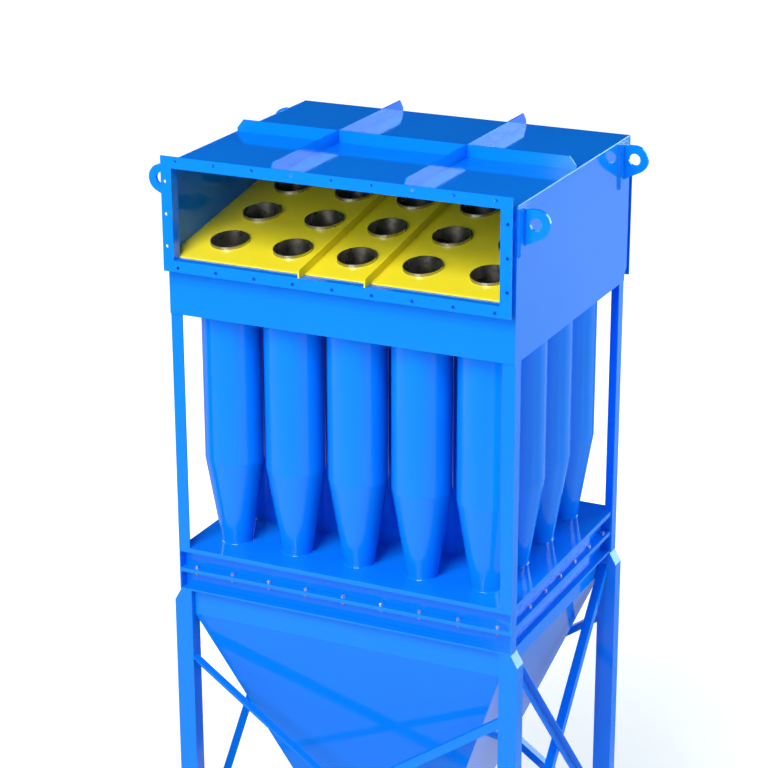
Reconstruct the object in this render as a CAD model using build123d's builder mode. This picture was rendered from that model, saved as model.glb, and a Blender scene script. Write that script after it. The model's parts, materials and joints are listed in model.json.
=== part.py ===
# Multi-tube cyclone separator: a plate box holds the clean-gas chamber over a bank of
# twenty hanging cyclone cells, whose dust falls through a bolted channel frame into a
# pyramid hopper on four braced legs.
# Millimetres. +Z up, -Y is the clean-gas outlet side, origin on the floor under the
# middle of the whole plan.
import os
from math import atan, cos, radians, tan

from build123d import *

# Cyclone cells
columns = 5
rows = 4
pitch_x = 250.0
pitch_y = 242.0
cell_r = 109.5
cell_wall = 3.0
cone_top_drop = 568.0
spigot_r = 55.5
seat_gap = 0.3
lower_sheet_t = 6.0

# Plan of the plate box, which clears the outer cells by the two spaces
wall_t = 5.0
side_space = 45.5
end_space = 43.5
rear_overhang = 20.0
neck_depth = 38.0
box_width = (columns - 1) * pitch_x + 2 * (cell_r + side_space + wall_t)
box_depth = (rows - 1) * pitch_y + 2 * (cell_r + end_space + wall_t)
overall_depth = box_depth + rear_overhang + 2 * neck_depth
front_y = -overall_depth / 2 + neck_depth
rear_y = front_y + box_depth
upper_rear_y = rear_y + rear_overhang
mid_y = (front_y + rear_y) / 2
half_width = box_width / 2
inner_half_x = half_width - wall_t
inner_half_y = box_depth / 2 - wall_t

# Heights
leg_top_z = 1630.0
channel_h = 80.0
dust_plate_t = 10.0
bank_height = 900.0
box_height = 545.0
joint_z = leg_top_z + channel_h
dust_plate_z = joint_z + channel_h
bank_bottom_z = dust_plate_z + dust_plate_t
box_bottom_z = bank_bottom_z + bank_height
box_top_z = box_bottom_z + box_height
wall_top_z = box_top_z - wall_t

# Gas openings and their angle-iron flanges
cheek_w = 44.0
outlet_sill_h = 210.0
inlet_sill_h = 50.0
flange_w = 42.0
flange_t = 4.0
flange_hole_r = 6.0
flange_gauge = 26.0
flange_pitch_x = 150.0
flange_pitch_z = 116.0
opening_half_x = half_width - cheek_w
opening_height = box_height - outlet_sill_h - flange_t
outlet_sill_z = box_bottom_z + outlet_sill_h
inlet_sill_z = box_bottom_z + inlet_sill_h
flange_holes_x = 1 + 2 * int((opening_half_x + flange_gauge) / flange_pitch_x)
flange_holes_z = 1 + 2 * int((opening_height / 2 + flange_gauge) / flange_pitch_z)

# Outlet tubes and the sloping sheet that carries them
tube_r = 70.0
tube_wall = 3.0
tube_dip = 260.0
tube_proud = 10.0
upper_sheet_t = 5.0
sheet_lift = 5.0
sheet_over_inlet = 17.0
sheet_rib_h = 32.0
sheet_rib_t = 5.0

# Guide vanes in the ring between each outlet tube and its cell
vane_count = 8
vane_t = 3.0
vane_tilt = 35.0
vane_height = 55.0
vane_drop = 12.0

# Roof ribs
roof_rib_h = 45.0
roof_rib_t = 5.0
roof_rib_cut_x = 25.0
roof_rib_cut_z = 31.0
roof_rib_x = pitch_x

# Lifting lugs
lug_inset_y = 53.0
lug_t = 12.0
lug_pad_w = 80.0
lug_pad_t = 8.0
lug_pad_low_drop = 175.0
lug_pad_high_drop = 11.0
lug_hole_drop = 69.0
lug_foot_drop = 145.0
lug_hole_r = 22.0
lug_eye_r = 51.0
lug_hole_out = 46.0
lug_y = box_depth / 2 - lug_inset_y
lug_hole_x = half_width + lug_hole_out
lug_hole_z = box_top_z - lug_hole_drop
lug_foot_z = box_top_z - lug_foot_drop
lug_pad_low_z = box_top_z - lug_pad_low_drop
lug_pad_high_z = box_top_z - lug_pad_high_drop

# Corner posts and channel frames
post_w = 45.0
post_t = 5.0
channel_b = 45.0
channel_web = 6.0
channel_flange = 7.5

# Hopper
skirt_in_x = 43.0
skirt_in_y = 22.0
skirt_h = 101.0
outlet_half_x = 150.0
outlet_half_y = 125.0
outlet_z = 385.0
hopper_t = 4.0
hopper_flange_w = 45.0
hopper_flange_t = 8.0
hopper_hole_r = 7.0
hopper_gauge = 25.0
hopper_hole_columns = 4
hopper_hole_rows = 3
skirt_half_x = inner_half_x - skirt_in_x
skirt_half_y = inner_half_y - skirt_in_y

# Legs, feet and braces
leg_w = 70.0
leg_depth = 55.0
leg_wall = 4.0
leg_stand_out = 24.0
leg_cut_x = 26.0
leg_cut_z = 46.0
foot_w = 140.0
foot_t = 10.0
foot_hole_r = 8.0
foot_hole_pitch = 100.0
brace_w = 32.0
brace_t = 4.0
front_brace_drop = 264.0
front_brace_low_z = 505.0
side_brace_drop = 48.0
side_brace_low_z = 527.0
leg_outer_x = half_width + leg_stand_out

fold_high_z = inlet_sill_z - flange_t
fold_low_z = fold_high_z - rear_overhang
fold_mitre = wall_t * tan(radians(22.5))
skirt_bottom_z = leg_top_z - skirt_h
leg_inner_x = leg_outer_x - leg_w
leg_outer_y = inner_half_y
leg_inner_y = leg_outer_y - leg_depth
leg_mid_x = leg_outer_x - leg_w / 2
leg_mid_y = leg_outer_y - leg_depth / 2
cone_top_z = box_bottom_z - cone_top_drop
sheet_front_y = front_y + wall_t
sheet_front_z = outlet_sill_z + sheet_lift
sheet_rear_y = upper_rear_y - wall_t
sheet_rear_z = inlet_sill_z + opening_height + sheet_over_inlet
sheet_run = sheet_rear_y - sheet_front_y
sheet_slope = (sheet_rear_z - sheet_front_z) / sheet_run
sheet_drop = upper_sheet_t / cos(atan(sheet_slope))

os.makedirs("parts", exist_ok=True)


def save(part, name):
    part.label = name
    export_step(part, f"parts/{name}.step")


def cell_centres():
    return [
        (pitch_x * (c - (columns - 1) / 2), mid_y + pitch_y * (r - (rows - 1) / 2))
        for r in range(rows)
        for c in range(columns)
    ]


def row_centres(row):
    return cell_centres()[row * columns:(row + 1) * columns]


def spaced(count, pitch):
    return [pitch * (i - (count - 1) / 2) for i in range(count)]


# Side walls, one plate each, cut back at the lower rear corner where the rear wall folds
for side, name in ((-1, "left_side_wall"), (1, "right_side_wall")):
    with BuildPart() as side_wall:
        with BuildSketch(Plane.YZ.offset(side * (half_width - wall_t / 2))):
            with BuildLine():
                Polyline(
                    (front_y, box_bottom_z),
                    (rear_y, box_bottom_z),
                    (rear_y, fold_low_z),
                    (upper_rear_y, fold_high_z),
                    (upper_rear_y, wall_top_z),
                    (front_y, wall_top_z),
                    close=True,
                )
            make_face()
        extrude(amount=wall_t / 2, both=True)
    save(side_wall.part, name)

# Front wall: a sill panel and two cheeks round the outlet opening
with BuildPart() as front_wall:
    with BuildSketch(Plane.XZ.offset(-front_y - wall_t)):
        with Locations((0, (box_bottom_z + wall_top_z) / 2)):
            Rectangle(2 * inner_half_x, wall_top_z - box_bottom_z)
        with Locations((0, outlet_sill_z)):
            Rectangle(
                2 * opening_half_x,
                wall_top_z - outlet_sill_z,
                align=(Align.CENTER, Align.MIN),
                mode=Mode.SUBTRACT,
            )
    extrude(amount=wall_t)
save(front_wall.part, "front_wall")

# Rear wall: plate folded out just under the inlet sill, with the inlet opening
with BuildPart() as rear_wall:
    with BuildSketch(Plane.YZ):
        with BuildLine():
            Polyline(
                (rear_y - wall_t, box_bottom_z),
                (rear_y, box_bottom_z),
                (rear_y, fold_low_z),
                (upper_rear_y, fold_high_z),
                (upper_rear_y, wall_top_z),
                (upper_rear_y - wall_t, wall_top_z),
                (upper_rear_y - wall_t, fold_high_z + fold_mitre),
                (rear_y - wall_t, fold_low_z + fold_mitre),
                close=True,
            )
        make_face()
    extrude(amount=inner_half_x, both=True)
    with BuildSketch(Plane.XZ.offset(-upper_rear_y)):
        with Locations((0, inlet_sill_z)):
            Rectangle(
                2 * opening_half_x,
                opening_height,
                align=(Align.CENTER, Align.MIN),
            )
    extrude(amount=wall_t, mode=Mode.SUBTRACT)
save(rear_wall.part, "rear_wall")

# Roof plate, laid over the four walls
with BuildPart() as roof_panel:
    with BuildSketch(Plane.XY.offset(wall_top_z)):
        with Locations((0, (front_y + upper_rear_y) / 2)):
            Rectangle(box_width, upper_rear_y - front_y)
    extrude(amount=wall_t)
save(roof_panel.part, "roof_panel")

# Lower tube sheet, the floor of the box, from which the cells hang
with BuildPart() as lower_tube_sheet:
    with BuildSketch(Plane.XY.offset(box_bottom_z)):
        with Locations((0, mid_y)):
            Rectangle(2 * inner_half_x, 2 * inner_half_y)
        with Locations(*cell_centres()):
            Circle(cell_r + seat_gap, mode=Mode.SUBTRACT)
    extrude(amount=lower_sheet_t)
save(lower_tube_sheet.part, "lower_tube_sheet")

# Sloping outlet tube sheet between the raw-gas and clean-gas chambers
with BuildPart() as outlet_tube_sheet:
    with BuildSketch(Plane.YZ):
        with BuildLine():
            Polyline(
                (sheet_front_y, sheet_front_z),
                (sheet_rear_y, sheet_rear_z),
                (sheet_rear_y, sheet_rear_z - sheet_drop),
                (sheet_front_y, sheet_front_z - sheet_drop),
                close=True,
            )
        make_face()
    extrude(amount=inner_half_x, both=True)
    with BuildSketch(Plane.XY.offset(box_bottom_z)):
        with Locations(*cell_centres()):
            Circle(tube_r + seat_gap)
    extrude(amount=box_height, mode=Mode.SUBTRACT)
save(outlet_tube_sheet.part, "outlet_tube_sheet")

# Two upright stiffeners on the sloping sheet, each side of the middle column, that run
# out over the sill to the face of the outlet flange
rib_front_y = front_y - neck_depth - flange_t
rib_front_z = sheet_front_z - (sheet_front_y - rib_front_y) * sheet_slope
with BuildPart() as outlet_sheet_ribs:
    for x in (-pitch_x / 2, pitch_x / 2):
        with BuildSketch(Plane.YZ.offset(x)):
            with BuildLine():
                Polyline(
                    (rib_front_y, outlet_sill_z),
                    (sheet_front_y, outlet_sill_z),
                    (sheet_front_y, sheet_front_z),
                    (sheet_rear_y, sheet_rear_z),
                    (sheet_rear_y, sheet_rear_z + sheet_rib_h),
                    (rib_front_y, rib_front_z + sheet_rib_h),
                    close=True,
                )
            make_face()
        extrude(amount=sheet_rib_t / 2, both=True)
save(outlet_sheet_ribs.part, "outlet_sheet_ribs")


def duct_flange(sill_z, back_y, outward):
    """Angle-iron frame round an opening: a neck leg and a drilled face leg."""
    top_z = sill_z + opening_height
    middle_z = (sill_z + top_z) / 2
    face_y = back_y + outward * neck_depth
    with BuildPart() as frame:
        with BuildSketch(Plane.XZ.offset(-back_y)):
            with Locations((0, middle_z)):
                Rectangle(2 * (opening_half_x + flange_t), opening_height + 2 * flange_t)
                Rectangle(2 * opening_half_x, opening_height, mode=Mode.SUBTRACT)
        extrude(amount=-outward * neck_depth)
        with BuildSketch(Plane.XZ.offset(-face_y)):
            with Locations((0, middle_z)):
                Rectangle(2 * (opening_half_x + flange_w), opening_height + 2 * flange_w)
                Rectangle(2 * opening_half_x, opening_height, mode=Mode.SUBTRACT)
        extrude(amount=outward * flange_t)
        with BuildSketch(Plane.XZ.offset(-face_y)):
            for x in spaced(flange_holes_x, flange_pitch_x):
                with Locations((x, sill_z - flange_gauge), (x, top_z + flange_gauge)):
                    Circle(flange_hole_r)
            for z in spaced(flange_holes_z, flange_pitch_z):
                side_x = opening_half_x + flange_gauge
                with Locations((-side_x, middle_z + z), (side_x, middle_z + z)):
                    Circle(flange_hole_r)
        extrude(amount=outward * flange_t, mode=Mode.SUBTRACT)
    return frame.part


save(duct_flange(outlet_sill_z, front_y, -1), "outlet_duct_flange")
save(duct_flange(inlet_sill_z, upper_rear_y, 1), "inlet_duct_flange")


def rib_profile(low, high):
    """Upright flat bar with both top corners cut off, from low to high along the bar."""
    return Polyline(
        (low, box_top_z),
        (high, box_top_z),
        (high, box_top_z + roof_rib_h - roof_rib_cut_z),
        (high - roof_rib_cut_x, box_top_z + roof_rib_h),
        (low + roof_rib_cut_x, box_top_z + roof_rib_h),
        (low, box_top_z + roof_rib_h - roof_rib_cut_z),
        close=True,
    )


# Roof stiffeners: two run front to rear, one crosses between them
with BuildPart() as roof_long_ribs:
    for x in (-roof_rib_x, roof_rib_x):
        with BuildSketch(Plane.YZ.offset(x)):
            with BuildLine():
                rib_profile(front_y, upper_rear_y)
            make_face()
        extrude(amount=roof_rib_t / 2, both=True)
save(roof_long_ribs.part, "roof_long_ribs")

with BuildPart() as roof_cross_rib:
    with BuildSketch(Plane.XZ.offset(-mid_y)):
        with BuildLine():
            rib_profile(-half_width, half_width)
        make_face()
        with Locations((-roof_rib_x, box_top_z), (roof_rib_x, box_top_z)):
            Rectangle(
                roof_rib_t,
                roof_rib_h,
                align=(Align.CENTER, Align.MIN),
                mode=Mode.SUBTRACT,
            )
    extrude(amount=roof_rib_t / 2, both=True)
save(roof_cross_rib.part, "roof_cross_rib")

# Lifting lugs: an eye plate on a backing pad near each upper corner
for side, side_name in ((-1, "left"), (1, "right")):
    for end, end_name in ((-1, "front"), (1, "rear")):
        eye_y = mid_y + end * lug_y
        pad_x = side * (half_width + lug_pad_t)
        with BuildPart() as lug:
            with BuildSketch(Plane.XZ.offset(-eye_y)):
                with Locations((side * lug_hole_x, lug_hole_z)):
                    Circle(lug_eye_r)
                with BuildLine():
                    Line((pad_x, lug_foot_z), (pad_x, lug_hole_z + lug_eye_r))
                make_hull()
                with Locations((side * lug_hole_x, lug_hole_z)):
                    Circle(lug_hole_r, mode=Mode.SUBTRACT)
                with Locations((side * (half_width - lug_eye_r / 2), lug_hole_z)):
                    Rectangle(lug_eye_r, 2 * lug_eye_r, mode=Mode.SUBTRACT)
            extrude(amount=lug_t / 2, both=True)
            with BuildSketch(Plane.YZ.offset(side * half_width)):
                with Locations((eye_y, (lug_pad_low_z + lug_pad_high_z) / 2)):
                    Rectangle(lug_pad_w, lug_pad_high_z - lug_pad_low_z)
            extrude(amount=side * lug_pad_t)
        save(lug.part, f"lifting_lug_{end_name}_{side_name}")

# Corner posts, angle iron with the heel at the outer corner
for end, name in ((-1, "front_posts"), (1, "rear_posts")):
    with BuildPart() as posts:
        with BuildSketch(Plane.XY.offset(bank_bottom_z)):
            for side in (-1, 1):
                heel_x = side * half_width
                heel_y = mid_y + end * inner_half_y
                with BuildLine():
                    Polyline(
                        (heel_x, heel_y),
                        (heel_x - side * post_w, heel_y),
                        (heel_x - side * post_w, heel_y - end * post_t),
                        (heel_x - side * post_t, heel_y - end * post_t),
                        (heel_x - side * post_t, heel_y - end * post_w),
                        (heel_x, heel_y - end * post_w),
                        close=True,
                    )
                make_face()
        extrude(amount=bank_height)
    save(posts.part, name)

# Cyclone cells: straight barrel, cone down to the dust plate and a spigot through it
for row in range(rows):
    with BuildPart() as cells:
        with BuildSketch(Plane.XZ):
            with BuildLine():
                Polyline(
                    (cell_r, box_bottom_z + lower_sheet_t),
                    (cell_r, cone_top_z),
                    (spigot_r, bank_bottom_z),
                    (spigot_r, dust_plate_z),
                    (spigot_r - cell_wall, dust_plate_z),
                    (spigot_r - cell_wall, bank_bottom_z),
                    (cell_r - cell_wall, cone_top_z),
                    (cell_r - cell_wall, box_bottom_z + lower_sheet_t),
                    close=True,
                )
            make_face()
        cell = revolve(axis=Axis.Z, mode=Mode.PRIVATE)
        with Locations(*[(x, y, 0) for x, y in row_centres(row)]):
            add(cell)
    save(cells.part, f"cyclone_cells_row_{row + 1}")

# Outlet tubes: each hangs down the middle of its cell and ends just proud of the sheet
with BuildPart() as outlet_tubes:
    with BuildSketch(Plane.XY.offset(box_bottom_z - tube_dip)):
        with Locations(*cell_centres()):
            Circle(tube_r)
            Circle(tube_r - tube_wall, mode=Mode.SUBTRACT)
    extrude(amount=tube_dip + box_height - wall_t)
    with BuildSketch(Plane.YZ):
        with BuildLine():
            Polyline(
                (sheet_front_y, sheet_front_z + tube_proud),
                (sheet_rear_y, sheet_rear_z + tube_proud),
                (sheet_rear_y, box_top_z),
                (sheet_front_y, box_top_z),
                close=True,
            )
        make_face()
    extrude(amount=inner_half_x, both=True, mode=Mode.SUBTRACT)
save(outlet_tubes.part, "outlet_tubes")

# Guide vanes: tilted blades that fill the ring round each tube and set the gas spinning
vane_top_z = box_bottom_z - vane_drop
vane_mid_z = vane_top_z - vane_height / 2
vane_run = vane_height / tan(radians(vane_tilt))
vane_lift = vane_t / cos(radians(vane_tilt))
with BuildPart() as vane_ring:
    with BuildSketch(Plane.YZ):
        with BuildLine():
            Polyline(
                (-vane_run / 2, vane_mid_z - vane_height / 2),
                (vane_run / 2, vane_mid_z + vane_height / 2 - vane_lift),
                (vane_run / 2, vane_mid_z + vane_height / 2),
                (-vane_run / 2, vane_mid_z - vane_height / 2 + vane_lift),
                close=True,
            )
        make_face()
    blade = extrude(amount=cell_r, mode=Mode.PRIVATE)
    with PolarLocations(0, vane_count):
        add(blade)
    with BuildSketch(Plane.XY.offset(vane_mid_z - vane_height / 2)):
        Circle(cell_r - cell_wall - seat_gap)
        Circle(tube_r, mode=Mode.SUBTRACT)
    extrude(amount=vane_height, mode=Mode.INTERSECT)
with BuildPart() as guide_vanes:
    with Locations(*[(x, y, 0) for x, y in cell_centres()]):
        add(vane_ring.part)
save(guide_vanes.part, "guide_vanes")


def channel_section(web_back, low_z, outward):
    """Rolled channel with its back at web_back and its flanges pointing outward."""
    high_z = low_z + channel_h
    tip = web_back + outward * channel_b
    face = web_back + outward * channel_web
    with BuildLine() as outline:
        Polyline(
            (web_back, low_z),
            (tip, low_z),
            (tip, low_z + channel_flange),
            (face, low_z + channel_flange),
            (face, high_z - channel_flange),
            (tip, high_z - channel_flange),
            (tip, high_z),
            (web_back, high_z),
            close=True,
        )
    return outline.line


# Channel frames: the upper one closes the cyclone bank, the lower one heads the hopper
for level, low_z in (("upper", joint_z), ("lower", leg_top_z)):
    with BuildPart() as long_channels:
        for end in (-1, 1):
            with BuildSketch(Plane.YZ):
                with BuildLine():
                    add(channel_section(mid_y + end * (inner_half_y - channel_b), low_z, end))
                make_face()
            extrude(amount=inner_half_x, both=True)
    save(long_channels.part, f"{level}_frame_front_rear_channels")
    with BuildPart() as side_channels:
        for side in (-1, 1):
            with BuildSketch(Plane.XZ.offset(-mid_y)):
                with BuildLine():
                    add(channel_section(side * (inner_half_x - channel_b), low_z, side))
                make_face()
            extrude(amount=inner_half_y - channel_b, both=True)
    save(side_channels.part, f"{level}_frame_side_channels")

# Corner plates that close the ends of the front and rear channels
with BuildPart() as frame_corner_plates:
    for side in (-1, 1):
        with BuildSketch(Plane.YZ.offset(side * inner_half_x)):
            for end in (-1, 1):
                with Locations(
                    (mid_y + end * (inner_half_y - channel_b / 2), (leg_top_z + bank_bottom_z) / 2)
                ):
                    Rectangle(channel_b, bank_bottom_z - leg_top_z)
        extrude(amount=side * wall_t)
save(frame_corner_plates.part, "frame_corner_plates")

# Dust plate on the upper frame, bored for the spigots
with BuildPart() as dust_plate:
    with BuildSketch(Plane.XY.offset(dust_plate_z)):
        with Locations((0, mid_y)):
            Rectangle(2 * inner_half_x, 2 * inner_half_y)
        with Locations(*cell_centres()):
            Circle(spigot_r + seat_gap, mode=Mode.SUBTRACT)
    extrude(amount=dust_plate_t)
save(dust_plate.part, "dust_plate")


def hopper_body(inset):
    """Skirt box over a pyramid frustum, all faces moved in by inset."""
    with BuildPart() as body:
        with BuildSketch(Plane.XY.offset(skirt_bottom_z)):
            with Locations((0, mid_y)):
                Rectangle(2 * (skirt_half_x - inset), 2 * (skirt_half_y - inset))
        with BuildSketch(Plane.XY.offset(outlet_z)):
            with Locations((0, mid_y)):
                Rectangle(2 * (outlet_half_x - inset), 2 * (outlet_half_y - inset))
        loft()
        with BuildSketch(Plane.XY.offset(skirt_bottom_z)):
            with Locations((0, mid_y)):
                Rectangle(2 * (skirt_half_x - inset), 2 * (skirt_half_y - inset))
        extrude(amount=skirt_h)
    return body.part


# Hopper walls, mitred at the corners: each is the shell's share inside its own wedge
hopper_outside = hopper_body(0)
hopper_inside = hopper_body(hopper_t)
mitre_run = (skirt_half_x - outlet_half_x) / (skirt_half_y - outlet_half_y)
wedge_y = outlet_half_y - 2 * hopper_t
wedge_x = outlet_half_x - 2 * hopper_t * mitre_run
hopper_sides = {
    "hopper_front_wall": ((-1, -1), (1, -1)),
    "hopper_rear_wall": ((1, 1), (-1, 1)),
    "hopper_left_wall": ((-1, 1), (-1, -1)),
    "hopper_right_wall": ((1, -1), (1, 1)),
}
for name, (first, second) in hopper_sides.items():
    with BuildPart() as hopper_wall:
        add(hopper_outside)
        add(hopper_inside, mode=Mode.SUBTRACT)
        with BuildSketch(Plane.XY):
            with BuildLine():
                Polyline(
                    (first[0] * skirt_half_x, mid_y + first[1] * skirt_half_y),
                    (second[0] * skirt_half_x, mid_y + second[1] * skirt_half_y),
                    (second[0] * wedge_x, mid_y + second[1] * wedge_y),
                    (first[0] * wedge_x, mid_y + first[1] * wedge_y),
                    close=True,
                )
            make_face()
        extrude(amount=leg_top_z, mode=Mode.INTERSECT)
    save(hopper_wall.part, name)

# Hopper outlet flange, drilled flat bar under the throat
with BuildPart() as hopper_outlet_flange:
    with BuildSketch(Plane.XY.offset(outlet_z - hopper_flange_t)):
        with Locations((0, mid_y)):
            Rectangle(
                2 * (outlet_half_x - hopper_t + hopper_flange_w),
                2 * (outlet_half_y - hopper_t + hopper_flange_w),
            )
            Rectangle(
                2 * (outlet_half_x - hopper_t),
                2 * (outlet_half_y - hopper_t),
                mode=Mode.SUBTRACT,
            )
        hole_x = outlet_half_x + hopper_gauge
        hole_y = outlet_half_y + hopper_gauge
        for x in spaced(hopper_hole_columns, 2 * hole_x / (hopper_hole_columns - 1)):
            with Locations((x, mid_y - hole_y), (x, mid_y + hole_y)):
                Circle(hopper_hole_r, mode=Mode.SUBTRACT)
        for y in spaced(hopper_hole_rows, 2 * hole_y / (hopper_hole_rows - 1))[1:-1]:
            with Locations((-hole_x, mid_y + y), (hole_x, mid_y + y)):
                Circle(hopper_hole_r, mode=Mode.SUBTRACT)
    extrude(amount=hopper_flange_t)
save(hopper_outlet_flange.part, "hopper_outlet_flange")


def leg_profile(side, inset):
    """Front view of a leg: box section whose outer top corner is cut to a slant."""
    inner = side * (leg_inner_x + inset)
    outer = side * (leg_outer_x - inset)
    cut_x = side * (leg_outer_x - leg_cut_x)
    bottom = foot_t
    return Polyline(
        (inner, bottom),
        (outer, bottom),
        (outer, leg_top_z - leg_cut_z - inset),
        (cut_x - side * inset / 2, leg_top_z - inset),
        (inner, leg_top_z - inset),
        close=True,
    )


# Legs, box section closed at the top
for side, side_name in ((-1, "left"), (1, "right")):
    for end, end_name in ((-1, "front"), (1, "rear")):
        leg_y = mid_y + end * leg_mid_y
        with BuildPart() as leg:
            with BuildSketch(Plane.XZ.offset(-leg_y)):
                with BuildLine():
                    leg_profile(side, 0)
                make_face()
            extrude(amount=leg_depth / 2, both=True)
            with BuildSketch(Plane.XZ.offset(-leg_y)):
                with BuildLine():
                    leg_profile(side, leg_wall)
                make_face()
            extrude(amount=leg_depth / 2 - leg_wall, both=True, mode=Mode.SUBTRACT)
        save(leg.part, f"leg_{end_name}_{side_name}")

# Base plates under the legs
with BuildPart() as base_plates:
    with BuildSketch(Plane.XY):
        for side in (-1, 1):
            for end in (-1, 1):
                with Locations((side * leg_mid_x, mid_y + end * leg_mid_y)):
                    Rectangle(foot_w, foot_w)
                    with GridLocations(foot_hole_pitch, foot_hole_pitch, 2, 2):
                        Circle(foot_hole_r, mode=Mode.SUBTRACT)
    extrude(amount=foot_t)
save(base_plates.part, "base_plates")


def brace(plane_of, half_span, high_z, low_z, start, facing, centre):
    """Angle-iron diagonal between two legs: a flat leg in the plane and a leg along its top."""
    rise = high_z - low_z
    stretch = 1 / cos(atan(rise / (2 * half_span)))
    with BuildPart() as bar:
        for depth, width in ((brace_t, brace_w), (brace_w, brace_t)):
            strip = width * stretch
            with BuildSketch(plane_of):
                with BuildLine():
                    Polyline(
                        (centre + start * half_span, high_z),
                        (centre - start * half_span, low_z),
                        (centre - start * half_span, low_z - strip),
                        (centre + start * half_span, high_z - strip),
                        close=True,
                    )
                make_face()
            extrude(amount=facing * depth)
    return bar.part


# Cross braces on all four sides, laid back to back in pairs on the legs' middle planes
for face, name in ((1, "outer"), (-1, "inner")):
    with BuildPart() as front_rear_braces:
        for end in (-1, 1):
            add(
                brace(
                    Plane.XZ.offset(-(mid_y + end * leg_mid_y)),
                    leg_inner_x,
                    leg_top_z - front_brace_drop,
                    front_brace_low_z,
                    -face,
                    -end * face,
                    0,
                )
            )
    save(front_rear_braces.part, f"front_rear_braces_{name}")
    with BuildPart() as side_braces:
        for side in (-1, 1):
            add(
                brace(
                    Plane.YZ.offset(side * leg_mid_x),
                    leg_inner_y,
                    leg_top_z - side_brace_drop,
                    side_brace_low_z,
                    -face,
                    side * face,
                    mid_y,
                )
            )
    save(side_braces.part, f"side_braces_{name}")
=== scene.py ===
# Looks for the multi-tube cyclone separator: enamel, fasteners, weld beads, studio and camera.
# Metres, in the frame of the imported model: +Z up, -Y is the clean-gas outlet side.
import json
from math import pi, radians

import bpy
import numpy as np
from mathutils import Matrix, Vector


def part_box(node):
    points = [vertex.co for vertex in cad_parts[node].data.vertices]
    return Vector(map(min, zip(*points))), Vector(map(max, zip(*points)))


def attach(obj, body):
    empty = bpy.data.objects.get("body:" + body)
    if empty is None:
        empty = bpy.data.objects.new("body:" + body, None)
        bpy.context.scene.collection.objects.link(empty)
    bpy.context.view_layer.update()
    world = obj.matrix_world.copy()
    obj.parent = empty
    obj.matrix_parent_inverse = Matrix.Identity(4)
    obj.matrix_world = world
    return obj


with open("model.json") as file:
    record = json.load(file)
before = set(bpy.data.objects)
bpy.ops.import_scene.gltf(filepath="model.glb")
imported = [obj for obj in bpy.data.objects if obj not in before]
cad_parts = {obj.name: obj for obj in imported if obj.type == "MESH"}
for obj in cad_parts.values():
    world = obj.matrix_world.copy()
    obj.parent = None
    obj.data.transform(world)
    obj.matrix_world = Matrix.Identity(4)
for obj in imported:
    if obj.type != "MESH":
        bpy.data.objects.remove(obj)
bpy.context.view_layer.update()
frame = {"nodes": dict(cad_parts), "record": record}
MM = 0.001


# ---------------------------------------------------------------- materials

def linear(hex_colour):
    """sRGB hex to linear RGBA: x/12.92 below 0.04045, else ((x + 0.055)/1.055)^2.4."""
    srgb = np.array([int(hex_colour[i:i + 2], 16) / 255 for i in (1, 3, 5)])
    rgb = np.where(srgb <= 0.04045, srgb / 12.92, ((srgb + 0.055) / 1.055) ** 2.4)
    return (*rgb.tolist(), 1.0)


def add_node(owner, kind, links=(), settings=(), values=()):
    """Adds a node: settings are its properties, values its sockets' numbers, links its incoming wires."""
    node = owner.node_tree.nodes.new(kind)
    for name, value in dict(settings).items():
        setattr(node, name, value)
    for name, value in dict(values).items():
        node.inputs[name].default_value = value
    for name, output in dict(links).items():
        owner.node_tree.links.new(output, node.inputs[name])
    return node


def start_material(name):
    """An empty material, ready for nodes."""
    material = bpy.data.materials.new(name)
    material.use_nodes = True
    material.node_tree.nodes.clear()
    return material


def per_metre(size_mm):
    """Noise scale on Object coordinates for a pattern whose features are size_mm across."""
    return 1000.0 / size_mm


def noise(material, place, size_mm, detail=1.0):
    """Smooth noise fixed to the object, its features size_mm across."""
    return add_node(
        material, "ShaderNodeTexNoise", {"Vector": place.outputs["Object"]},
        values={"Scale": per_metre(size_mm), "Detail": detail}).outputs["Fac"]


def blend(material, amount, first, second):
    """Mixes two sRGB hex colours by a 0 to 1 pattern."""
    return add_node(
        material, "ShaderNodeMix", {0: amount}, {"data_type": "RGBA"},
        {6: linear(first), 7: linear(second)}).outputs[2]


def spread(material, pattern, low, high):
    """Maps a noise's usual 0.3 to 0.7 on to low to high."""
    return add_node(
        material, "ShaderNodeMapRange", {"Value": pattern},
        values={"From Min": 0.3, "From Max": 0.7, "To Min": low, "To Max": high}).outputs["Result"]


def relief(material, height, depth_mm, below=None):
    """Raises the surface by a 0 to 1 pattern, depth_mm at most, over an earlier relief if there is one."""
    links = {"Height": height}
    if below is not None:
        links["Normal"] = below
    return add_node(
        material, "ShaderNodeBump", links,
        values={"Strength": 1.0, "Distance": depth_mm * MM}).outputs["Normal"]


def finish_shader(material, colour, roughness, normal, values):
    """Ends a material: the three patterns and the fixed values go to one Principled shader."""
    shader = add_node(
        material, "ShaderNodeBsdfPrincipled",
        {"Base Color": colour, "Roughness": roughness, "Normal": normal}, values=values)
    add_node(material, "ShaderNodeOutputMaterial", {"Surface": shader.outputs["BSDF"]})
    return material


PASS_MM = 420.0  # width of a pass of the spray gun
WAVE_DEPTH_MM = 0.10
PEEL_MM, PEEL_DEPTH_MM = 9.0, 0.02  # real orange peel is 3 to 5 mm across, drawn coarser so that it shows
ENAMEL_IOR = 1.5


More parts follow.
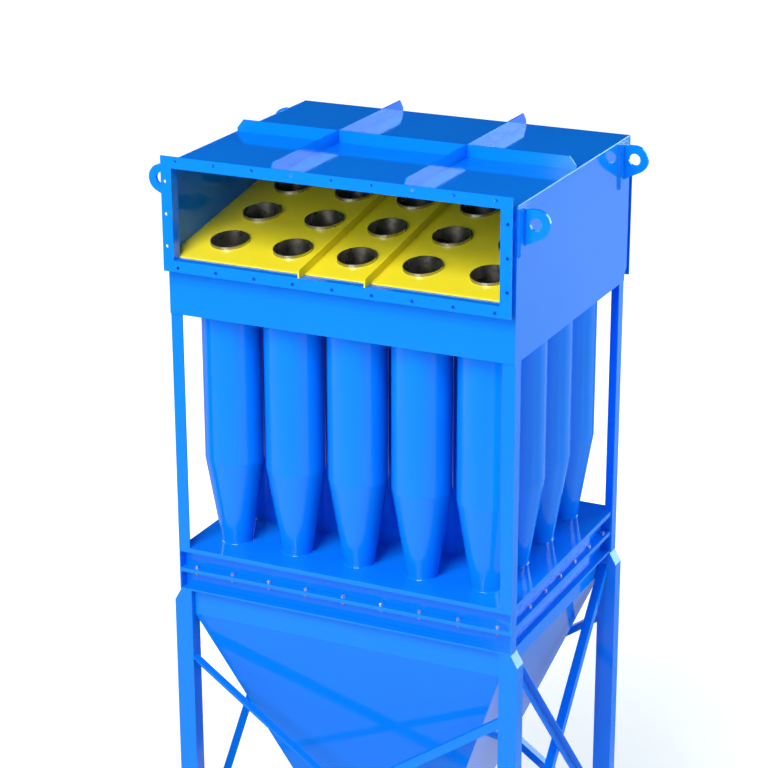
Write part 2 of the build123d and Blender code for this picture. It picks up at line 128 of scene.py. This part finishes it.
def enamel(name, colour, shade, roughness, wave_mm=260.0):
    """Sprayed two-pack enamel on steel plate: tone and gloss drift from pass to pass, and orange peel
    lies over the plate's own waves."""
    material = start_material(name)
    place = add_node(material, "ShaderNodeTexCoord")
    passes = noise(material, place, PASS_MM, 3.0)
    plate = relief(material, noise(material, place, wave_mm), WAVE_DEPTH_MM)
    peel = relief(material, noise(material, place, PEEL_MM), PEEL_DEPTH_MM, plate)
    return finish_shader(
        material, blend(material, passes, colour, shade),
        spread(material, passes, 0.85 * roughness, 1.15 * roughness), peel,
        {"IOR": ENAMEL_IOR})


def bare_metal(name, colour, shade, roughness, mottle_mm, depth_mm):
    """Uncoated or thinly plated metal whose tone and gloss drift together."""
    material = start_material(name)
    place = add_node(material, "ShaderNodeTexCoord")
    mottle = noise(material, place, mottle_mm, 3.0)
    return finish_shader(
        material, blend(material, mottle, colour, shade),
        spread(material, mottle, 0.8 * roughness, 1.25 * roughness),
        relief(material, mottle, depth_mm), {"Metallic": 1.0})


# Blue two-pack enamel, sprayed on welded plate and sections. The eye gets a deep even blue with a faint
# drift of tone from pass to pass, reflections bent a little by the plate's weld waves (260 mm across,
# a tenth of a millimetre deep) and a fine orange peel.
plate_enamel = enamel("blue_enamel_on_plate", "#0685FF", "#0480F6", 0.08)
# The same enamel on rolled shells: their waves are shorter and the gloss a little softer.
shell_enamel = enamel("blue_enamel_on_rolled_shells", "#0685FF", "#0480F6", 0.11, 150.0)
# Yellow enamel of the inner sheet, duller than the outside coat, so that it mirrors little.
sheet_enamel = enamel("yellow_enamel_on_sheet", "#FFEC2A", "#F8E224", 0.20)
# Drawn steel tube, left bare: a grey satin that darkens inside and mirrors the yellow round it, with
# a faint mottle of mill scale at 45 mm, drawn three times coarser than real so that it shows.
tube_steel = bare_metal("drawn_steel_tube", "#BDBBB1", "#ADAAA0", 0.28, 45.0, 0.003)
# Bright zinc plate on the bolts: a pale satin with the mottle of the bath at 3 mm.
bright_zinc = bare_metal("bright_zinc_plate", "#E6E8E6", "#D2D4D0", 0.45, 3.0, 0.01)
# Zinc with a yellow passivation on the nuts: the same satin, warm gold.
yellow_zinc = bare_metal("yellow_passivated_zinc", "#F0CC58", "#DDB648", 0.40, 3.0, 0.01)

slot_finish = {
    "frame_blue": plate_enamel,
    "cell_blue": shell_enamel,
    "plate_blue": plate_enamel,
    "sheet_yellow": sheet_enamel,
    "tube_steel": tube_steel,
}
for subpart in frame["record"]["subparts"]:
    node = frame["nodes"][subpart["node"]]
    node.data.materials.clear()
    node.data.materials.append(slot_finish[subpart["material_slot"]])


# ---------------------------------------------------------------- surfaces

def skin(points, wrap_rows=False):
    """Faces of a grid of points (rows, around, 3): quads that close around, and a cap on each end row
    unless the rows close on themselves."""
    rows, around = points.shape[:2]
    spots = np.arange(rows * around).reshape(rows, around)
    here = spots if wrap_rows else spots[:-1]
    above = np.roll(spots, -1, 0) if wrap_rows else spots[1:]
    quads = np.stack([here, np.roll(here, -1, 1), np.roll(above, -1, 1), above], -1).reshape(-1, 4)
    ends = [] if wrap_rows else [spots[0][::-1].tolist(), spots[-1].tolist()]
    return points.reshape(-1, 3), quads.tolist() + ends


def join(name, parts, material, smooth):
    """One piece made of several (points, faces) parts, riding on the root body."""
    starts = np.cumsum([0] + [len(points) for points, _ in parts])
    faces = [[int(start) + spot for spot in face] for start, (_, part) in zip(starts, parts) for face in part]
    mesh = bpy.data.meshes.new(name)
    mesh.from_pydata(np.concatenate([points for points, _ in parts]).tolist(), [], faces)
    mesh.polygons.foreach_set("use_smooth", np.full(len(mesh.polygons), smooth))
    mesh.materials.append(material)
    piece = bpy.data.objects.new(name, mesh)
    bpy.context.scene.collection.objects.link(piece)
    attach(piece, "root")


def turned_hexagon(profile, turn, sides=24):
    """Nut or bolt head about +Z: at each (height, half flats, round) the radius is the smaller of the
    hexagon's, half flats over the cosine of the angle from the nearest flat's middle, and the round."""
    height, half_flats, rim = np.array(profile).T
    angle = np.arange(sides) * 2 * pi / sides
    from_flat = np.mod(angle + pi / 6, pi / 3) - pi / 6
    radius = np.minimum(half_flats[:, None] / np.cos(from_flat), rim[:, None])
    angle = angle + turn
    level = np.broadcast_to(height[:, None], radius.shape)
    return np.stack([radius * np.cos(angle), radius * np.sin(angle), level], -1)


# M8 frame bolts on the channels' usual gauge line. Each profile row gives height, half width across the
# flats and round radius in millimetres; a half width of ROUND leaves the row round.
BOLT_GAUGE = 25 * MM
CHANNEL_FLANGE_T = 7.5 * MM
BOLT_COLUMNS, BOLT_SPAN_X = 9, 0.6
BOLT_ROWS, BOLT_SPAN_Y = 7, 0.436
HEAD_TURN, NUT_TURN = 0.7, 1.1  # radians from one bolt to the next, as a spanner happens to leave them
ROUND = 90.0
# Washer, then head with its chamfer
head_profile = np.array([
    (0.0, ROUND, 8.0), (1.6, ROUND, 8.0), (1.6, 6.5, 6.3), (2.0, 6.5, 7.6), (6.2, 6.5, 7.6),
    (6.9, 6.5, 6.3)]) * MM
# Below the joint: bolt end, nut with both chamfers, washer
nut_profile = np.array([
    (14.0, ROUND, 3.2), (13.2, ROUND, 4.0), (8.4, ROUND, 4.0), (8.4, 6.5, 6.3), (7.7, 6.5, 7.6),
    (2.2, 6.5, 7.6), (1.6, 6.5, 6.3), (1.6, ROUND, 8.0), (0.0, ROUND, 8.0)]) * MM * (-1, 1, 1)
frame_low, frame_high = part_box("upper_frame_front_rear_channels")
joint_z = frame_low[2]
from_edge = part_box("upper_frame_side_channels")[0][1] - frame_low[1] - BOLT_GAUGE
bolt_x = frame_high[0] - from_edge
bolt_low_y, bolt_high_y = frame_low[1] + from_edge, frame_high[1] - from_edge
mid_y = (frame_low[1] + frame_high[1]) / 2
bolt_spots = (
    [(x, y) for x in np.linspace(-BOLT_SPAN_X, BOLT_SPAN_X, BOLT_COLUMNS) for y in (bolt_low_y, bolt_high_y)]
    + [(x, y) for x in (-bolt_x, bolt_x) for y in mid_y + np.linspace(-BOLT_SPAN_Y, BOLT_SPAN_Y, BOLT_ROWS)])
heads, nuts = [], []
for count, (x, y) in enumerate(bolt_spots):
    heads.append(skin(turned_hexagon(head_profile, HEAD_TURN * count) + (x, y, joint_z + CHANNEL_FLANGE_T)))
    nuts.append(skin(turned_hexagon(nut_profile, NUT_TURN * count) + (x, y, joint_z - CHANNEL_FLANGE_T)))
join("joint_bolt_heads", heads, bright_zinc, False)
join("joint_nuts", nuts, yellow_zinc, False)


RIPPLE_MM = 9.0  # real ripples are about 2 mm, drawn coarser so that they show
FACE_POWER = 1.6  # 2 is a flat face between the toes, 1 a quarter round
ROOT_MM = 0.4  # how far the bead's root is sunk behind the corner


def bead(path, away_a, away_b, leg_mm=4.0, closed=False):
    """Fillet weld along a path of points: between the toes at leg a and leg b the face runs through
    a cos^1.6 + b sin^1.6, a little fuller than flat, and its leg swells and sinks by a twelfth per ripple."""
    path = np.asarray(path, float)
    a, b = (np.broadcast_to(np.asarray(v, float), path.shape) for v in (away_a, away_b))
    share = np.linspace(0, pi / 2, 6)
    along = np.cumsum(np.r_[0, np.linalg.norm(np.diff(path, axis=0), axis=1)])
    leg = leg_mm * MM * (1 + np.abs(np.sin(pi * along / (RIPPLE_MM * MM))) / 12)[:, None, None]
    near_a, near_b = (np.power(wave(share), FACE_POWER)[None, :, None] for wave in (np.cos, np.sin))
    face = leg * (near_a * a[:, None] + near_b * b[:, None])
    root = -ROOT_MM * MM * (a + b)[:, None]
    section = path[:, None] + np.concatenate([root, face], 1)
    if np.dot(np.cross(a[0], b[0]), path[1] - path[0]) < 0:
        section = section[:, ::-1]
    return skin(section, wrap_rows=closed)


def run(start, end, away_a, away_b, leg_mm=4.0):
    """Straight bead: start + t (end - start), a point every third of a ripple."""
    start, end = np.asarray(start, float), np.asarray(end, float)
    steps = max(2, int(np.linalg.norm(end - start) / (RIPPLE_MM * MM / 3)))
    return bead(start + np.linspace(0, 1, steps)[:, None] * (end - start), away_a, away_b, leg_mm)


def ring(centre, radius, leg_mm=4.0):
    """Bead round an upright tube on a flat plate, along centre + radius (cos t, sin t, 0)."""
    angle = np.arange(60) * 2 * pi / 60
    out = np.stack([np.cos(angle), np.sin(angle), 0 * angle], -1)
    return bead(np.asarray(centre) + radius * out, out, (0, 0, 1), leg_mm, closed=True)


up, down = (0, 0, 1), (0, 0, -1)
left, right = (-1, 0, 0), (1, 0, 0)
front, rear = (0, -1, 0), (0, 1, 0)
corners = ("front_left", "front_right", "rear_left", "rear_right")
beads = []
# Stitches of 50 at 150 mm along the far foot of every roof stiffener, none where two of them cross
STITCH, STITCH_PITCH, STITCH_START, CROSSING = 0.05, 0.15, 0.04, 0.035
long_ribs, cross_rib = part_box("roof_long_ribs"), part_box("roof_cross_rib")
rib_t = cross_rib[1][1] - cross_rib[0][1]
roof_z = cross_rib[0][2]
for x in (long_ribs[0][0], long_ribs[1][0] - rib_t):
    for y in np.arange(long_ribs[0][1] + STITCH_START, long_ribs[1][1] - STITCH, STITCH_PITCH):
        if not cross_rib[0][1] - STITCH < y < cross_rib[1][1]:
            beads.append(run((x, y, roof_z), (x, y + STITCH, roof_z), left, up))
for x in np.arange(cross_rib[0][0] + STITCH_START, cross_rib[1][0] - STITCH, STITCH_PITCH):
    if min(abs(x + STITCH / 2 - rib[0]) for rib in long_ribs) > CROSSING:
        beads.append(run((x, cross_rib[1][1], roof_z), (x + STITCH, cross_rib[1][1], roof_z), rear, up))
# Corner welds along the roof's two side edges, sunk into the edge so that a low round shows
roof_low, roof_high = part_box("roof_panel")
sink = 1.5 * MM
for x, away in ((roof_low[0] + sink, left), (roof_high[0] - sink, right)):
    z = roof_high[2] - sink
    beads.append(run((x, roof_low[1], z), (x, roof_high[1], z), away, up, 3.2))
# Lifting lugs: three edges of each pad to the wall
for name in corners:
    low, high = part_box("lifting_lug_" + name)
    side = 1.0 if name.endswith("right") else -1.0
    wall_x = low[0] if side > 0 else high[0]
    out = (side, 0, 0)
    for edge_y, away in ((low[1], front), (high[1], rear)):
        beads.append(run((wall_x, edge_y, low[2]), (wall_x, edge_y, high[2]), away, out))
    beads.append(run((wall_x, low[1], low[2]), (wall_x, high[1], low[2]), down, out))
# Spigots to the dust plate
SPIGOT_R = 55.5 * MM
plate_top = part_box("dust_plate")[1][2]
for row in range(1, 5):
    low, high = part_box("cyclone_cells_row_%d" % row)
    diameter = high[1] - low[1]
    for x in np.linspace(low[0] + diameter / 2, high[0] - diameter / 2, 5):
        beads.append(ring((x, (low[1] + high[1]) / 2, plate_top), SPIGOT_R, 3.0))
# Legs to their base plates
for name in corners:
    low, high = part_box("leg_" + name)
    for x, away in ((low[0], left), (high[0], right)):
        beads.append(run((x, low[1], low[2]), (x, high[1], low[2]), away, up))
    for y, away in ((low[1], front), (high[1], rear)):
        beads.append(run((low[0], y, low[2]), (high[0], y, low[2]), away, up))
join("weld_beads", beads, plate_enamel, True)


# ---------------------------------------------------------------- studio and camera

def studio_floor(half_side):
    """Pale floor: the plane (u, v) -> (u, v, 0)."""
    u, v = np.meshgrid(np.linspace(-half_side, half_side, 3), np.linspace(-half_side, half_side, 3))
    points = np.stack([u, v, np.zeros_like(u)], -1).reshape(-1, 3)
    mesh = bpy.data.meshes.new("studio_floor")
    spots = np.arange(9).reshape(3, 3)
    quads = np.stack([spots[:-1, :-1], spots[:-1, 1:], spots[1:, 1:], spots[1:, :-1]], -1).reshape(-1, 4)
    mesh.from_pydata(points.tolist(), [], quads.tolist())
    floor = bpy.data.objects.new("studio_floor", mesh)
    bpy.context.scene.collection.objects.link(floor)
    return floor


floor = studio_floor(40.0)
# White floor paint. The camera sees it lifted towards white, less near the object, whose shadow stays on it;
# the gloss sees only a painted reflection, the brightness given below, with a painted shadow behind the object.
floor_paint = start_material("white_studio_floor")
diffuse = add_node(floor_paint, "ShaderNodeBsdfDiffuse", values={"Color": linear("#D2D2D2")})
path = add_node(floor_paint, "ShaderNodeLightPath")
seen = add_node(
    floor_paint, "ShaderNodeMath", {0: path.outputs["Is Camera Ray"], 1: path.outputs["Is Glossy Ray"]},
    {"operation": "MAXIMUM"})
place = add_node(floor_paint, "ShaderNodeTexCoord")
reach = add_node(floor_paint, "ShaderNodeVectorMath", {0: place.outputs["Object"]}, {"operation": "LENGTH"})
lift = add_node(
    floor_paint, "ShaderNodeMapRange", {"Value": reach.outputs["Value"]}, {"interpolation_type": "SMOOTHSTEP"},
    {"From Min": 0.6, "From Max": 6.0, "To Min": 0.48, "To Max": 1.0})
spot = add_node(floor_paint, "ShaderNodeSeparateXYZ", {"Vector": place.outputs["Object"]})
# Painted reflection of the floor: the brightness that the gloss sees at each Y, dim far in front, half before
# the object, a painted shadow just behind it and pale farther back. The ramp starts with two stops, which the
# ends take.
RAMP_REACH = 10.0
along_y = add_node(
    floor_paint, "ShaderNodeMapRange", {"Value": spot.outputs["Y"]},
    values={"From Min": -RAMP_REACH, "From Max": RAMP_REACH, "To Min": 0.0, "To Max": 1.0})
painted_reflection_ramp = add_node(floor_paint, "ShaderNodeValToRGB", {"Fac": along_y.outputs["Result"]})
painted_reflection_tones = (
    (-9.0, 0.12), (9.0, 0.60), (-6.5, 0.24), (-4.0, 0.50), (-2.0, 0.55), (-0.9, 0.36), (0.9, 0.64), (2.1, 0.28),
    (4.2, 0.42))
stops = painted_reflection_ramp.color_ramp.elements
for count, (y, grey) in enumerate(painted_reflection_tones):
    place_along = (y + RAMP_REACH) / (2 * RAMP_REACH)
    stop = stops[count] if count < 2 else stops.new(place_along)
    stop.position = place_along
    stop.color = (grey, grey, grey, 1.0)
shown = add_node(
    floor_paint, "ShaderNodeMix",
    {0: path.outputs["Is Glossy Ray"], 2: lift.outputs["Result"], 3: painted_reflection_ramp.outputs["Color"]})
lit = add_node(
    floor_paint, "ShaderNodeMath", {0: seen.outputs[0], 1: shown.outputs[0]}, {"operation": "MULTIPLY"})
glow = add_node(
    floor_paint, "ShaderNodeEmission", {"Strength": lit.outputs[0]}, values={"Color": linear("#FFFFFF")})
both = add_node(
    floor_paint, "ShaderNodeAddShader", {0: diffuse.outputs["BSDF"], 1: glow.outputs["Emission"]})
# To the gloss the floor is the painted reflection alone, without its lit paint.
surface = add_node(
    floor_paint, "ShaderNodeMixShader",
    {0: path.outputs["Is Glossy Ray"], 1: both.outputs["Shader"], 2: glow.outputs["Emission"]})
add_node(floor_paint, "ShaderNodeOutputMaterial", {"Surface": surface.outputs["Shader"]})
floor.data.materials.append(floor_paint)

# Studio walls: white at the horizon, dark above, so that the roof's gloss stays deep; white to the camera
world = bpy.data.worlds.new("studio")
bpy.context.scene.world = world
world.use_nodes = True
world.node_tree.nodes.clear()
direction = add_node(world, "ShaderNodeTexCoord")
height = add_node(world, "ShaderNodeSeparateXYZ", {"Vector": direction.outputs["Generated"]})
fade = add_node(
    world, "ShaderNodeMapRange", {"Value": height.outputs["Z"]}, {"interpolation_type": "SMOOTHSTEP"},
    {"From Min": 0.0, "From Max": 0.14, "To Min": 1.0, "To Max": 0.012})
path = add_node(world, "ShaderNodeLightPath")
shown = add_node(
    world, "ShaderNodeMath", {0: fade.outputs["Result"], 1: path.outputs["Is Camera Ray"]},
    {"operation": "MAXIMUM"})
sky = add_node(
    world, "ShaderNodeBackground", {"Strength": shown.outputs[0]}, values={"Color": linear("#FFFFFF")})
add_node(world, "ShaderNodeOutputWorld", {"Surface": sky.outputs["Background"]})


LAMP_TARGET = (0.0, 0.0, 2.2)
LAMP_DISTANCE = 9.0


def softbox(name, azimuth, elevation, size, power, colour="#FFFFFF"):
    """Square area lamp on a sphere round the target, facing it; azimuth 0 is in front, 90 to the right."""
    lamp = bpy.data.lights.new(name, "AREA")
    lamp.shape = "SQUARE"
    lamp.size = size
    lamp.energy = power
    lamp.color = linear(colour)[:3]
    turn = Matrix.Rotation(radians(azimuth), 4, "Z") @ Matrix.Rotation(pi / 2 - radians(elevation), 4, "X")
    light = bpy.data.objects.new(name, lamp)
    light.matrix_world = Matrix.Translation(LAMP_TARGET) @ turn @ Matrix.Translation((0.0, 0.0, LAMP_DISTANCE))
    bpy.context.scene.collection.objects.link(light)


# The high front lamp reaches the first 250 mm behind the outlet, and the lower one lights the yellow
# sheet. The cool one at the rear right is mirrored in the roof's stiffeners and the flange tops.
softbox("high_front_softbox", 0.0, 50.0, 4.0, 600.0)
softbox("front_softbox", -4.0, 22.0, 4.0, 440.0)
softbox("right_softbox", 95.0, 10.0, 4.0, 370.0)
softbox("rear_right_softbox", 152.0, 13.5, 5.0, 520.0, "#CBEEFF")
softbox("left_softbox", -95.0, 16.0, 4.0, 210.0)


# Camera found by fitting the box, flange and roof ribs of the photograph
camera_place = (3.5427, -7.5560, 5.3492)
camera_azimuth = 25.598
camera_elevation = 19.697
camera_roll = -0.186
focal_pixels = 2420.88
image_pixels = 768
lens = bpy.data.cameras.new("photo_camera")
lens.sensor_width = 36.0
lens.lens = focal_pixels / image_pixels * lens.sensor_width
camera = bpy.data.objects.new("photo_camera", lens)
camera.matrix_world = (
    Matrix.Translation(camera_place)
    @ Matrix.Rotation(radians(camera_azimuth), 4, "Z")
    @ Matrix.Rotation(pi / 2 - radians(camera_elevation), 4, "X")
    @ Matrix.Rotation(radians(camera_roll), 4, "Z"))
bpy.context.scene.collection.objects.link(camera)
bpy.context.scene.camera = camera
bpy.context.scene.view_settings.view_transform = "Standard"
